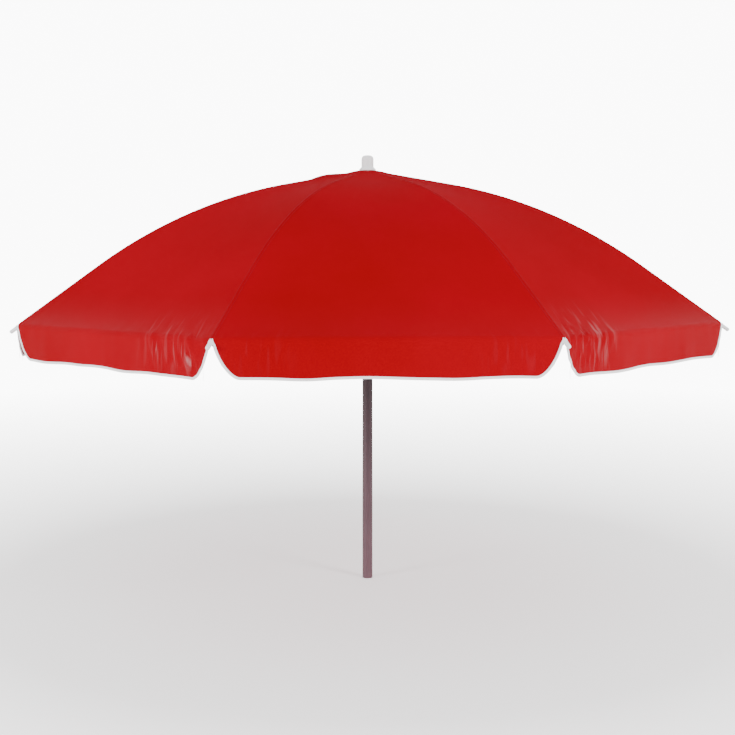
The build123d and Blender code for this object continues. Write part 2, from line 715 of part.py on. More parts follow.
# ---------------------------------------- joint facts
print("rib hinge r, z:", crown_pivot_r, crown_pivot_z)
print("stretcher joint r, z:", round(joint_r, 3), round(joint_z, 3))
print("runner travel:", round(runner_travel, 3), "stretcher turn on the rib:", round(stretcher_turn, 3))
print("rim r, z:", round(rim_r, 3), round(rim_z, 3), "finial top:", finial_top_z)
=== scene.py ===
"""A beach umbrella with eight red panels, open and upright on its pole."""

import math

import bmesh
import bpy
import numpy as np
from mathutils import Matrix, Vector, noise


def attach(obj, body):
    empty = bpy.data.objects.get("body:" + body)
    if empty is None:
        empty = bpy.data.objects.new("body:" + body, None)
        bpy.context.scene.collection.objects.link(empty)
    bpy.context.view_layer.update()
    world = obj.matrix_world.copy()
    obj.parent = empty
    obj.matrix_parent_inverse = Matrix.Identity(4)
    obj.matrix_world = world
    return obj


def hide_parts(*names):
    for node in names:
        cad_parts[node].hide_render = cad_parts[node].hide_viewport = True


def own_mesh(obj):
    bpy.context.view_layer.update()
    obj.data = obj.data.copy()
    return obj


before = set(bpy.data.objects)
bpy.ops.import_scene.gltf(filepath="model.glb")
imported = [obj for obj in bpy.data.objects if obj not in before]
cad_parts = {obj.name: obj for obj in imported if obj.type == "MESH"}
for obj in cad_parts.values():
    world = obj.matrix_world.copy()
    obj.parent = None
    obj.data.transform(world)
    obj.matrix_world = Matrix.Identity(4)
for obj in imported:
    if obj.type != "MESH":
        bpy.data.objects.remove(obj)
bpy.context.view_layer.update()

# ---------------------------------------------------------------- camera
# The umbrella is seen from a little above its rim and a little to one side of a panel's middle,
# from about three and a half times the canopy's radius away.
rim_radius = 0.830
rim_height = 0.653
camera_distance = 3.433 * rim_radius
camera_height = rim_height + 0.183 * rim_radius
camera_turn = math.radians(2.9)
camera_pitch = math.radians(5.56)
lens_length = 56.97
sensor_width = 36.0

camera = bpy.data.objects.new("camera", bpy.data.cameras.new("camera"))
bpy.context.scene.collection.objects.link(camera)
camera.location = (
    -camera_distance * math.sin(camera_turn),
    -camera_distance * math.cos(camera_turn),
    camera_height,
)
camera.rotation_euler = (math.pi / 2 - camera_pitch, 0, -camera_turn)
camera.data.lens = lens_length
camera.data.sensor_width = sensor_width
bpy.context.scene.camera = camera

# ---------------------------------------------------------------- studio
# A pale paper floor that sweeps up into a wall behind the umbrella, between two softboxes. Away
# from the umbrella the paper glows, as if lit from behind, and the room behind it is as bright.
# Both are bright to the camera only, so that they don't wash out the red of the cloth.
floor_width = 80.0
floor_front = -40.0
sweep_start = 4.0
sweep_radius = 2.0
sweep_steps = 14
wall_height = 9.0
glow_start = 0.9
glow_full = 4.5
glow_least = 0.08
backdrop_brightness = 9.0
paper_cast_light = 0.6
room_cast_light = 1.15

sweep = [(floor_front, 0.0), (sweep_start, 0.0)]
sweep += [
    (sweep_start + sweep_radius * math.sin(a), sweep_radius * (1 - math.cos(a)))
    for a in np.linspace(0.1, math.pi / 2, sweep_steps)
]
sweep += [(sweep_start + sweep_radius, wall_height)]
floor_mesh = bpy.data.meshes.new("floor")
floor_mesh.from_pydata(
    [(side * floor_width / 2, y, z) for y, z in sweep for side in (-1, 1)],
    [],
    [(2 * i, 2 * i + 1, 2 * i + 3, 2 * i + 2) for i in range(len(sweep) - 1)],
)
floor_mesh.shade_smooth()
floor = bpy.data.objects.new("floor", floor_mesh)
bpy.context.scene.collection.objects.link(floor)


def seen_or_cast(tree, strength, cast_light):
    """Sets a brightness that the camera sees in full, and that lights other things by less."""
    ray = tree.nodes.new("ShaderNodeLightPath")
    choice = tree.nodes.new("ShaderNodeMapRange")
    choice.inputs["To Min"].default_value = cast_light
    choice.inputs["To Max"].default_value = backdrop_brightness
    tree.links.new(ray.outputs["Is Camera Ray"], choice.inputs["Value"])
    tree.links.new(choice.outputs["Result"], strength)


paper = bpy.data.materials.new("studio_paper")
paper.use_nodes = True
paper_shader = paper.node_tree.nodes["Principled BSDF"]
paper_shader.inputs["Base Color"].default_value = (0.93, 0.93, 0.93, 1)
paper_shader.inputs["Roughness"].default_value = 0.9
paper_place = paper.node_tree.nodes.new("ShaderNodeTexCoord")
paper_distance = paper.node_tree.nodes.new("ShaderNodeVectorMath")
paper_distance.operation = "LENGTH"
paper_glow = paper.node_tree.nodes.new("ShaderNodeMapRange")
paper_glow.inputs["From Min"].default_value = glow_start
paper_glow.inputs["From Max"].default_value = glow_full
paper_glow.inputs["To Min"].default_value = glow_least
paper.node_tree.links.new(paper_place.outputs["Object"], paper_distance.inputs[0])
paper.node_tree.links.new(paper_distance.outputs["Value"], paper_glow.inputs["Value"])
paper.node_tree.links.new(paper_glow.outputs["Result"], paper_shader.inputs["Emission Color"])
seen_or_cast(paper.node_tree, paper_shader.inputs["Emission Strength"], paper_cast_light)
floor_mesh.materials.append(paper)

world = bpy.data.worlds.new("studio")
bpy.context.scene.world = world
world.use_nodes = True
room = world.node_tree.nodes["Background"]
room.inputs["Color"].default_value = (1, 1, 1, 1)
seen_or_cast(world.node_tree, room.inputs["Strength"], room_cast_light)


def soft_light(name, place, target, size, watts):
    """A square softbox at a place, which looks at a target."""
    lamp = bpy.data.lights.new(name, "AREA")
    lamp.shape = "SQUARE"
    lamp.size = size
    lamp.energy = watts
    box = bpy.data.objects.new(name, lamp)
    bpy.context.scene.collection.objects.link(box)
    box.location = place
    box.rotation_euler = (Vector(target) - Vector(place)).to_track_quat("-Z", "Y").to_euler()


canopy_middle = (0, 0, 0.8)
soft_light("key", place=(3.4, -3.2, 2.4), target=canopy_middle, size=1.2, watts=150)
soft_light("fill", place=(-3.8, -2.4, 1.3), target=canopy_middle, size=1.0, watts=112)


# ---------------------------------------------------------------- pole
# Two lengths of thin steel tube, 25 mm across, with a baked mauve-grey coating. The lower one
# ends in a plain sawn cut; the upper one carries the crown and the finial.
def new_material(name, colour, roughness, metallic=0.0):
    """A node material, with its Principled shader."""
    material = bpy.data.materials.new(name)
    material.use_nodes = True
    shader = material.node_tree.nodes["Principled BSDF"]
    shader.inputs["Base Color"].default_value = (*colour, 1)
    shader.inputs["Roughness"].default_value = roughness
    shader.inputs["Metallic"].default_value = metallic
    return material, shader


def add_node(material, kind, **settings):
    """A node in a material's tree, with its settings."""
    node = material.node_tree.nodes.new(kind)
    for key, value in settings.items():
        setattr(node, key, value)
    return node


def wire(material, out_socket, in_socket):
    """Joins one node's output to another's input."""
    material.node_tree.links.new(out_socket, in_socket)


def surface_group():
    """Shared effect: fine grain and slow mottling, from a point on the piece."""
    group = bpy.data.node_groups.new("grain_and_mottle", "ShaderNodeTree")
    side = group.interface
    side.new_socket("Point", in_out="INPUT", socket_type="NodeSocketVector")
    for name, value in (("Grain Scale", 900.0), ("Mottle Scale", 14.0), ("Grain Share", 0.5)):
        side.new_socket(name, in_out="INPUT", socket_type="NodeSocketFloat").default_value = value
    side.new_socket("Grain", in_out="OUTPUT", socket_type="NodeSocketFloat")
    side.new_socket("Mottle", in_out="OUTPUT", socket_type="NodeSocketFloat")
    side.new_socket("Mixed", in_out="OUTPUT", socket_type="NodeSocketFloat")
    inside = group.nodes.new("NodeGroupInput")
    outside = group.nodes.new("NodeGroupOutput")
    grain = group.nodes.new("ShaderNodeTexNoise")
    mottle = group.nodes.new("ShaderNodeTexNoise")
    grain.inputs["Detail"].default_value = 2
    mottle.inputs["Detail"].default_value = 4
    mix = group.nodes.new("ShaderNodeMix")
    mix.data_type = "FLOAT"
    link = group.links.new
    link(inside.outputs["Point"], grain.inputs["Vector"])
    link(inside.outputs["Point"], mottle.inputs["Vector"])
    link(inside.outputs["Grain Scale"], grain.inputs["Scale"])
    link(inside.outputs["Mottle Scale"], mottle.inputs["Scale"])
    link(inside.outputs["Grain Share"], mix.inputs[0])
    link(mottle.outputs[0], mix.inputs[2])
    link(grain.outputs[0], mix.inputs[3])
    link(grain.outputs[0], outside.inputs["Grain"])
    link(mottle.outputs[0], outside.inputs["Mottle"])
    link(mix.outputs[0], outside.inputs["Mixed"])
    return group


grain_and_mottle = surface_group()


def add_surface(material, grain_scale, mottle_scale, share=0.5):
    """The shared grain and mottling, placed in a material on Object coordinates."""
    place = add_node(material, "ShaderNodeTexCoord")
    node = add_node(material, "ShaderNodeGroup", node_tree=grain_and_mottle)
    node.inputs["Grain Scale"].default_value = grain_scale
    node.inputs["Mottle Scale"].default_value = mottle_scale
    node.inputs["Grain Share"].default_value = share
    wire(material, place.outputs["Object"], node.inputs["Point"])
    return node


def ramp(material, source, low, high, low_value, high_value):
    """A value that runs from one to another as its source runs from low to high."""
    node = add_node(material, "ShaderNodeMapRange")
    node.inputs["From Min"].default_value = low
    node.inputs["From Max"].default_value = high
    node.inputs["To Min"].default_value = low_value
    node.inputs["To Max"].default_value = high_value
    wire(material, source, node.inputs["Value"])
    return node.outputs["Result"]


def tint(material, shader, source, low, high, dark, light):
    """Base colour that runs between two colours as its source runs from low to high."""
    share = ramp(material, source, low, high, 0, 1)
    mix = add_node(material, "ShaderNodeMix", data_type="RGBA")
    mix.inputs[6].default_value = (*dark, 1)
    mix.inputs[7].default_value = (*light, 1)
    wire(material, share, mix.inputs[0])
    wire(material, mix.outputs[2], shader.inputs["Base Color"])
    return mix


def bump(material, shader, source, strength, depth):
    """Surface relief of a depth in metres, from a height that a node gives."""
    node = add_node(material, "ShaderNodeBump")
    node.inputs["Strength"].default_value = strength
    node.inputs["Distance"].default_value = depth
    wire(material, source, node.inputs["Height"])
    wire(material, node.outputs["Normal"], shader.inputs["Normal"])
    return node


def finish_node(node_name, material):
    """Gives a carried-over CAD node its finished material."""
    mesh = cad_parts[node_name].data
    mesh.materials.clear()
    mesh.materials.append(material)


coat, coat_shader = new_material("coated_steel", (0.145, 0.098, 0.110), 0.42, 0.25)
coat_shader.inputs["Specular IOR Level"].default_value = 0.3
coat_grain = add_surface(coat, 1400.0, 9.0, 0.35)
coat_dark = (0.108, 0.060, 0.072)
coat_light = (0.138, 0.078, 0.094)
coat_tint = tint(
    coat, coat_shader, coat_grain.outputs["Mixed"], 0.35, 0.65, coat_dark, coat_light
)
# Painted shade: the coating is darkened towards the top, where the canopy shades the pole, and
# lightened towards the foot, where more light reaches it.
painted_shade_top_z, painted_shade_foot_z = 0.56, 0.02
painted_shade_top_scale, painted_shade_foot_scale = 0.24, 1.3
coat_axes = add_node(coat, "ShaderNodeSeparateXYZ")
coat_place = add_node(coat, "ShaderNodeTexCoord")
wire(coat, coat_place.outputs["Object"], coat_axes.inputs["Vector"])
# Painted shade: the coat's colour is scaled from dark at the top of the pole to light at its foot.
painted_shade = ramp(coat, coat_axes.outputs["Z"], painted_shade_top_z, painted_shade_foot_z, painted_shade_top_scale, painted_shade_foot_scale)
painted_shade_tint = add_node(coat, "ShaderNodeVectorMath", operation="SCALE")
wire(coat, coat_tint.outputs[2], painted_shade_tint.inputs[0])
wire(coat, painted_shade, painted_shade_tint.inputs["Scale"])
wire(coat, painted_shade_tint.outputs[0], coat_shader.inputs["Base Color"])
coat_gloss = ramp(coat, coat_grain.outputs["Mottle"], 0.3, 0.7, 0.36, 0.5)
wire(coat, coat_gloss, coat_shader.inputs["Roughness"])
bump(coat, coat_shader, coat_grain.outputs["Grain"], 0.12, 0.0003)
coat_shader.inputs["Coat Weight"].default_value = 0.15
coat_shader.inputs["Coat Roughness"].default_value = 0.3
finish_node("lower_pole", coat)
finish_node("upper_pole", coat)

# ---------------------------------------------------------------- tilt joint
# Die-cast fork and tongue that plug into the two tubes and turn on a plated rivet. A sprung
# plastic button in one ear of the fork locks the tongue.
cast, cast_shader = new_material("die_cast", (0.50, 0.50, 0.51), 0.5, 0.9)
cast_grain = add_surface(cast, 1100.0, 30.0)
cast_gloss = ramp(cast, cast_grain.outputs["Mixed"], 0.3, 0.7, 0.38, 0.6)
wire(cast, cast_gloss, cast_shader.inputs["Roughness"])
bump(cast, cast_shader, cast_grain.outputs["Grain"], 0.3, 0.0004)
for name in ("tilt_fork", "tilt_tongue"):
    finish_node(name, cast)

zinc, zinc_shader = new_material("zinc_plate", (0.58, 0.58, 0.60), 0.3, 1.0)
zinc_grain = add_surface(zinc, 700.0, 60.0)
zinc_dark = (0.50, 0.50, 0.53)
zinc_light = (0.66, 0.66, 0.68)
tint(zinc, zinc_shader, zinc_grain.outputs["Mottle"], 0.3, 0.7, zinc_dark, zinc_light)
zinc_gloss = ramp(zinc, zinc_grain.outputs["Mixed"], 0.3, 0.7, 0.24, 0.42)
wire(zinc, zinc_gloss, zinc_shader.inputs["Roughness"])
for name in ("tilt_rivet", "crown_ring"):
    finish_node(name, zinc)

spring_steel, spring_shader = new_material("spring_steel", (0.30, 0.30, 0.32), 0.32, 1.0)
spring_grain = add_surface(spring_steel, 500.0, 80.0)
spring_gloss = ramp(spring_steel, spring_grain.outputs["Mixed"], 0.3, 0.7, 0.25, 0.45)
wire(spring_steel, spring_gloss, spring_shader.inputs["Roughness"])
finish_node("runner_catch", spring_steel)

# The button's coil spring, which shortens towards the tongue as the button goes in, is the CAD
# piece with its doubled points merged, carried on the lower pole.
coil = bmesh.new()
coil.from_mesh(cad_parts["button_spring"].data)
bmesh.ops.remove_doubles(coil, verts=coil.verts, dist=1e-6)
coil_mesh = bpy.data.meshes.new("coil_spring")
coil.to_mesh(coil_mesh)
coil.free()
coil_mesh.shade_smooth()
coil_mesh.materials.append(spring_steel)
coil_spring = bpy.data.objects.new("coil_spring", coil_mesh)
bpy.context.scene.collection.objects.link(coil_spring)
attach(coil_spring, "lower_pole")
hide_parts("button_spring")
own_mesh(coil_spring)

# ---------------------------------------------------------------- white mouldings
# Crown, runner, finial, rib tips and the tilt button: white polypropylene, with the faint
# ripple and slightly uneven gloss of a moulding.
white, white_shader = new_material("white_moulding", (0.90, 0.89, 0.90), 0.38)
white_grain = add_surface(white, 800.0, 45.0, 0.3)
white_dark = (0.88, 0.87, 0.88)
white_light = (0.93, 0.92, 0.93)
tint(white, white_shader, white_grain.outputs["Mottle"], 0.3, 0.7, white_dark, white_light)
white_gloss = ramp(white, white_grain.outputs["Mixed"], 0.3, 0.7, 0.3, 0.46)
wire(white, white_gloss, white_shader.inputs["Roughness"])
bump(white, white_shader, white_grain.outputs["Mottle"], 0.08, 0.0006)
rib_numbers = range(1, 9)
mouldings = ["crown", "runner", "finial", "tilt_button"] + [f"rib_tip_{n}" for n in rib_numbers]
for name in mouldings:
    finish_node(name, white)

# ---------------------------------------------------------------- ribs and stretchers
# Galvanised spring-steel rods. Each rib has a pressed clip with the rivet that its stretcher
# turns on.
galvanised, galvanised_shader = new_material("galvanised_rod", (0.55, 0.56, 0.57), 0.42, 0.95)
spangle = add_surface(galvanised, 1500.0, 150.0, 0.4)
rod_dark = (0.42, 0.43, 0.45)
rod_light = (0.66, 0.67, 0.68)
tint(galvanised, galvanised_shader, spangle.outputs["Mottle"], 0.3, 0.7, rod_dark, rod_light)
rod_gloss = ramp(galvanised, spangle.outputs["Mixed"], 0.3, 0.7, 0.32, 0.52)
wire(galvanised, rod_gloss, galvanised_shader.inputs["Roughness"])
for n in rib_numbers:
    finish_node(f"rib_{n}", galvanised)
    finish_node(f"stretcher_{n}", galvanised)
    finish_node(f"rib_clip_{n}", zinc)

# ---------------------------------------------------------------- canopy cloth
# Eight panels of coated red polyester, sewn together over the ribs, which turn down at the rim
# into the hanging valance. Each rib's share of the cloth, half a panel to either side, is made
# as a middle band on the rib and a wing on each side of it.
millimetre = 0.001
rib_count = 8
half_turn = math.pi / rib_count
crown_radius = 0.020
crown_height = 1.000
inner_run = 0.190
bend_radius = 1.120
outer_run = 0.217
slope_in = math.radians(10.5)
slope_out = math.radians(35.5)
bend_run = bend_radius * (slope_out - slope_in)
rib_reach = inner_run + bend_run + outer_run
cloth_lift = 4.5 * millimetre
cloth_thickness = 0.5 * millimetre
cloth_hole = 0.0165
cloth_top = crown_height + 5.7 * millimetre
over_crown_reach = 0.062
rim_bend = 0.016
valance_drop = 74.0 * millimetre
band_half = 0.018
tension_sag = 0.007
seam_lap = 0.5 * millimetre
rows_over_crown = 8
rows_over_rib = 86
rows_round_rim = 7
rows_down_valance = 21


def rib_turn(rib):
    """The direction of a rib from the pole, as an angle round it."""
    return half_turn + (rib - 1) * 2 * half_turn


def rib_section(along):
    """Radius, height and slope of the cloth over a rib, at a distance along it from the crown."""
    bent = np.clip(along - inner_run, 0, bend_run)
    slope = slope_in + bent / bend_radius
    straight = np.minimum(along, inner_run)
    past = np.maximum(along - inner_run - bend_run, 0)
    r = crown_radius + straight * math.cos(slope_in) + past * math.cos(slope_out)
    r = r + bend_radius * (np.sin(slope) - math.sin(slope_in)) + cloth_lift * np.sin(slope)
    z = crown_height - straight * math.sin(slope_in) - past * math.sin(slope_out)
    z = z - bend_radius * (math.cos(slope_in) - np.cos(slope)) + cloth_lift * np.cos(slope)
    return r, z, slope


def cloth_section():
    """The cloth's section, from the crown's hole over the rim to the valance's lower edge.

    Gives each row's radius, height, slope, distance from the hole, and share of the valance's drop.
    """
    join_r, join_z, _ = rib_section(np.array([over_crown_reach - crown_radius]))
    share = np.linspace(0, 1, rows_over_crown + 1)[:-1]
    span = join_r[0] - cloth_hole
    over_r = cloth_hole + span * share
    ease = share**2 * (3 - 2 * share)
    tail = share**3 - share**2
    over_z = cloth_top + (join_z[0] - cloth_top) * ease - span * math.tan(slope_in) * tail
    over_slope = slope_in * share
    rib_r, rib_z, _ = rib_section(np.array([rib_reach]))
    turn = math.pi / 2 - slope_out
    wall_r = rib_r[0] + 0.5 * millimetre
    cut_back = rim_bend * math.tan(turn / 2) - (wall_r - rib_r[0]) / math.cos(slope_out)
    top_run = np.linspace(over_crown_reach - crown_radius, rib_reach - cut_back, rows_over_rib)
    top_r, top_z, top_slope = rib_section(top_run)
    angles = np.linspace(0, turn, rows_round_rim + 1)[1:]
    centre_r = top_r[-1] - rim_bend * math.sin(slope_out)
    centre_z = top_z[-1] - rim_bend * math.cos(slope_out)
    bend_r = centre_r + rim_bend * np.sin(slope_out + angles)
    bend_z = centre_z + rim_bend * np.cos(slope_out + angles)
    lower_edge = rib_z[0] - valance_drop
    drop = np.sin(np.linspace(0, math.pi / 2, rows_down_valance + 1)[1:])
    fall_z = bend_z[-1] + (lower_edge - bend_z[-1]) * drop
    r = np.concatenate([over_r, top_r, bend_r, np.full(len(drop), bend_r[-1])])
    z = np.concatenate([over_z, top_z, bend_z, fall_z])
    upright = np.full(len(drop), math.pi / 2)
    slope = np.concatenate([over_slope, top_slope, slope_out + angles, upright])
    run = np.concatenate([[0], np.cumsum(np.hypot(np.diff(r), np.diff(z)))])
    hang = np.concatenate([np.zeros(len(r) - len(drop)), drop])
    return r, z, slope, run, hang


row_r, row_z, row_slope, row_run, row_hang = cloth_section()
rim_run = row_run[np.argmax(row_hang > 0) - rows_round_rim - 1]
full_run = row_run[-1]


notch_gap = 3.0
notch_flare = 16.0
notch_corner = 33.0


def notch_edge(hang):
    """How far the valance's cut edge stands from the rib, by share of its drop: a bell mouth."""
    opening = notch_flare * hang + notch_corner * (1 - np.sqrt(np.clip(1 - hang**2, 0, 1)))
    return np.where(hang > 0, (notch_gap + opening) * millimetre, 0.0)


# Where the cloth is bunched: panel, side of the panel, distance from the rib, distance past the
# rim, half width, half height, depth in millimetres and the wrinkles' own pitch.
bunches = [
    (5, -1, 0.075, 0.030, 0.050, 0.050, 7.0, 0.016),
    (5, -1, 0.150, 0.020, 0.045, 0.045, 4.0, 0.020),
    (7, 1, 0.060, 0.015, 0.045, 0.055, 7.5, 0.015),
    (7, 1, 0.125, 0.020, 0.045, 0.060, 5.5, 0.018),
    (4, 1, 0.060, 0.025, 0.060, 0.045, 3.0, 0.017),
    (8, -1, 0.070, 0.030, 0.060, 0.045, 3.0, 0.017),
    (1, 1, 0.080, 0.025, 0.060, 0.045, 3.6, 0.016),
    (2, -1, 0.080, 0.030, 0.060, 0.045, 4.0, 0.017),
    (3, 1, 0.090, 0.025, 0.060, 0.045, 3.2, 0.016),
    (6, 1, 0.070, 0.030, 0.060, 0.040, 1.2, 0.019),
    (6, -1, 0.080, 0.030, 0.060, 0.040, 1.4, 0.019),
]
full_crease_depth = 6.0
held_by_seam = 0.030

# Slow waves in the hanging valance, fine unevenness all over, puckers along the rib's seam, and
# the dips of the lower edge: how high each stands, and its pitch across and along the cloth.
wave_height, wave_across, wave_along = 6.0 * millimetre, 0.085, 0.60
fine_height, fine_across, fine_along = 0.5 * millimetre, 0.024, 0.075
pucker_height, pucker_pitch, pucker_reach = 0.9 * millimetre, 0.021, 0.022
hem_dip, hem_dip_pitch = 5.0 * millimetre, 0.09

# One panel has caught some air by the finial.
puffed_panel = 4
puff_height, puff_run, puff_length = 11 * millimetre, 0.100, 0.055


def smooth_step(x):
    """Runs from 0 to 1 with a soft start and end, as x does."""
    x = np.clip(x, 0, 1)
    return x * x * (3 - 2 * x)


def cloth_noise(across, along, seed):
    """Smooth noise at places on the cloth."""
    return np.array([noise.noise(Vector((a, b, seed))) for a, b in zip(across, along)])


def bunches_near(panel, side, from_rib, past_rim):
    """The bunches on one side of a panel: how near each point is, depth and wrinkle pitch."""
    for number, end, out, down, wide, tall, depth, pitch in bunches:
        if number == panel and end == side:
            near = np.exp(-(((from_rib - out) / wide) ** 2) - ((past_rim - down) / tall) ** 2)
            yield near, depth, pitch


def creasing(panel, side, from_rib, past_rim):
    """How creased the cloth is, from 0 to 1, round the places where it is bunched."""
    share = np.zeros(len(from_rib))
    for near, depth, _ in bunches_near(panel, side, from_rib, past_rim):
        share = np.maximum(share, near * min(depth / full_crease_depth, 1.0))
    return share * smooth_step(from_rib / held_by_seam)


def cloth_relief(panel, side, from_rib, half_width, run):
    """How far the cloth stands off its plain shape: slack, soft waves, puckers and wrinkles."""
    across = side * (half_width - from_rib)
    past_rim = run - rim_run
    share = np.clip(from_rib / np.maximum(half_width, 1e-6), 0, 1)
    slack = np.sin(math.pi * np.clip(run / rim_run, 0, 1)) ** 0.8
    relief = -tension_sag * share * (2 - share) * slack
    held = smooth_step(from_rib / held_by_seam)
    if panel == puffed_panel:
        puff = np.exp(-(((run - puff_run) / puff_length) ** 2))
        relief += puff_height * share * (2 - share) * puff
    hanging = smooth_step(past_rim / (full_run - rim_run))
    relief += seam_lap * (1 - smooth_step((from_rib - 5.5 * millimetre) / (1.2 * millimetre)))
    waves = cloth_noise(across / wave_across, run / wave_along, panel * 7.31)
    fine = cloth_noise(across / fine_across, run / fine_along, panel * 3.77)
    relief += wave_height * waves * hanging
    relief += fine_height * fine * held * (0.25 + 0.75 * smooth_step((past_rim + 0.05) / 0.1))
    pucker = np.exp(-((from_rib / pucker_reach) ** 2)) * held
    relief += pucker_height * pucker * np.sin(run * 2 * math.pi / pucker_pitch + 3 * fine)
    for near, depth, pitch in bunches_near(panel, side, from_rib, past_rim):
        lean = from_rib + 0.35 * past_rim
        folds = cloth_noise(lean / pitch, past_rim / (3.2 * pitch), panel * 5.1)
        relief += depth * millimetre * near * held * (1.6 * np.abs(folds) - 0.35)
    return relief


def panel_of(rib, side):
    """The panel to one side of a rib. Panels are numbered by the rib that they follow."""
    return rib if side > 0 else (rib - 2) % rib_count + 1


def cloth_points(rib, side, run, from_rib, lift=0.0):
    """Places of cloth points, from their distances from the hole and from the rib."""
    r = np.interp(run, row_run, row_r)
    z = np.interp(run, row_run, row_z) - np.maximum(run - full_run, 0)
    slope = np.interp(run, row_run, row_slope)
    half_width = r * math.sin(half_turn)
    panel = panel_of(rib, side)
    stand = cloth_relief(panel, side, from_rib, half_width, run) + lift
    across = side * (half_width - from_rib)
    dip = cloth_noise(across / hem_dip_pitch, np.full(len(run), panel * 4.13), 0.5)
    z = z + hem_dip * dip * smooth_step((run - rim_run) / (full_run - rim_run)) ** 2
    turn = rib_turn(rib)
    middle = turn + side * half_turn
    out = np.array([math.cos(middle), math.sin(middle), 0.0])
    along = side * np.array([-math.sin(middle), math.cos(middle), 0.0])
    start = np.array([math.cos(turn), math.sin(turn), 0.0])
    place = r[:, None] * start + from_rib[:, None] * along
    place = place + np.stack([0 * z, 0 * z, z], 1)
    normal = np.sin(slope)[:, None] * out + np.cos(slope)[:, None] * np.array([0, 0, 1.0])
    return place + stand[:, None] * normal


def cloth_grid(rib, side, lift, inner, outer, columns, first_row):
    """A grid of cloth points between two edges, given as distances from the rib by row."""
    rows = np.arange(first_row, len(row_r))
    share = np.linspace(0, 1, columns + 1)
    run = np.repeat(row_run[rows], columns + 1)
    from_rib = (inner[rows][:, None] * (1 - share) + outer[rows][:, None] * share).ravel()
    points = cloth_points(rib, side, run, from_rib, lift).reshape(len(rows), columns + 1, 3)
    return points, from_rib, run


def skin_mesh(name, grids):
    """A closed thin sheet from grids of (outer points, inner points, uv, creasing, winding)."""
    work = bmesh.new()
    uv_layer = work.loops.layers.uv.new("cloth")
    crease_layer = work.verts.layers.float.new("creased")
    for outer, inner, uv, creased, flip in grids:
        rows, columns, _ = outer.shape
        top = [[work.verts.new(outer[i, j]) for j in range(columns)] for i in range(rows)]
        under = [[work.verts.new(inner[i, j]) for j in range(columns)] for i in range(rows)]
        for i in range(rows):
            for j in range(columns):
                top[i][j][crease_layer] = creased[i, j]

        def face(corners, places, rim=False):
            if flip:
                corners, places = corners[::-1], places[::-1]
            made = work.faces.new(corners)
            made.smooth = not rim
            for edge in made.edges if rim else ():
                edge.smooth = False
            for loop, (a, b) in zip(made.loops, places):
                loop[uv_layer].uv = uv[a, b]

        for i in range(rows - 1):
            for j in range(columns - 1):
                spots = [(i, j), (i + 1, j), (i + 1, j + 1), (i, j + 1)]
                face([top[a][b] for a, b in spots], spots)
                spots = spots[::-1]
                face([under[a][b] for a, b in spots], spots)
        for i in range(rows - 1):
            for j, turn in ((0, False), (columns - 1, True)):
                spots = [(i, j), (i + 1, j)]
                ring = [top[i][j], under[i][j], under[i + 1][j], top[i + 1][j]]
                places = [spots[0], spots[0], spots[1], spots[1]]
                face(ring[::-1] if turn else ring, places[::-1] if turn else places, rim=True)
        for j in range(columns - 1):
            for i, turn in ((0, True), (rows - 1, False)):
                ring = [top[i][j], under[i][j], under[i][j + 1], top[i][j + 1]]
                places = [(i, j), (i, j), (i, j + 1), (i, j + 1)]
                face(ring[::-1] if turn else ring, places[::-1] if turn else places, rim=True)
    bmesh.ops.remove_doubles(work, verts=work.verts, dist=2e-5)
    bmesh.ops.dissolve_degenerate(work, dist=1e-5, edges=work.edges)
    mesh = bpy.data.meshes.new(name)
    work.to_mesh(mesh)
    work.free()
    return mesh


def place_object(name, mesh):
    """An object at the origin that holds a finished mesh."""
    made = bpy.data.objects.new(name, mesh)
    bpy.context.scene.collection.objects.link(made)
    return made


row_half = row_r * math.sin(half_turn)
band_edge = band_half / math.cos(half_turn)
edge_by_row = notch_edge(row_hang)
wing_first = int(np.argmax(row_half > band_edge)) - 1
band_columns = 5
wing_columns = 54


def cloth_part(rib, side, inner, outer, columns, first_row):
    """Both skins, the UV in metres across and along, and the creasing of one part of the cloth."""
    edges = (inner, outer, columns, first_row)
    skin, from_rib, run = cloth_grid(rib, side, cloth_thickness / 2, *edges)
    lining, _, _ = cloth_grid(rib, side, -cloth_thickness / 2, *edges)
    uv = np.stack([side * from_rib, run], 1).reshape(skin.shape[0], columns + 1, 2)
    creased = creasing(panel_of(rib, side), side, from_rib, run - rim_run)
    return skin, lining, uv, creased.reshape(uv.shape[:2]), side < 0


cloth, cloth_shader = new_material("red_cloth", (0.46, 0.006, 0.010), 0.42)
cloth_shader.inputs["Specular IOR Level"].default_value = 0.025
cloth_shader.inputs["Specular Tint"].default_value = (1.0, 0.02, 0.04, 1)
cloth_places = add_node(cloth, "ShaderNodeTexCoord")
cloth_grain = add_surface(cloth, 260.0, 3.2, 0.2)
red_dark = (0.265, 0.0000, 0.0045)
red_light = (0.305, 0.0000, 0.0070)
tint(cloth, cloth_shader, cloth_grain.outputs["Mottle"], 0.3, 0.7, red_dark, red_light)
cloth_axes = add_node(cloth, "ShaderNodeSeparateXYZ")
wire(cloth, cloth_places.outputs["UV"], cloth_axes.inputs["Vector"])
matt_top, glossy_valance = 0.95, 0.45
gloss = ramp(
    cloth, cloth_axes.outputs["Y"], rim_run - 0.12, rim_run + 0.01, matt_top, glossy_valance
)
uneven_gloss = ramp(cloth, cloth_grain.outputs["Mixed"], 0.3, 0.7, -0.05, 0.05)
gloss_sum = add_node(cloth, "ShaderNodeMath", operation="ADD")
wire(cloth, gloss, gloss_sum.inputs[0])
wire(cloth, uneven_gloss, gloss_sum.inputs[1])
wire(cloth, gloss_sum.outputs[0], cloth_shader.inputs["Roughness"])

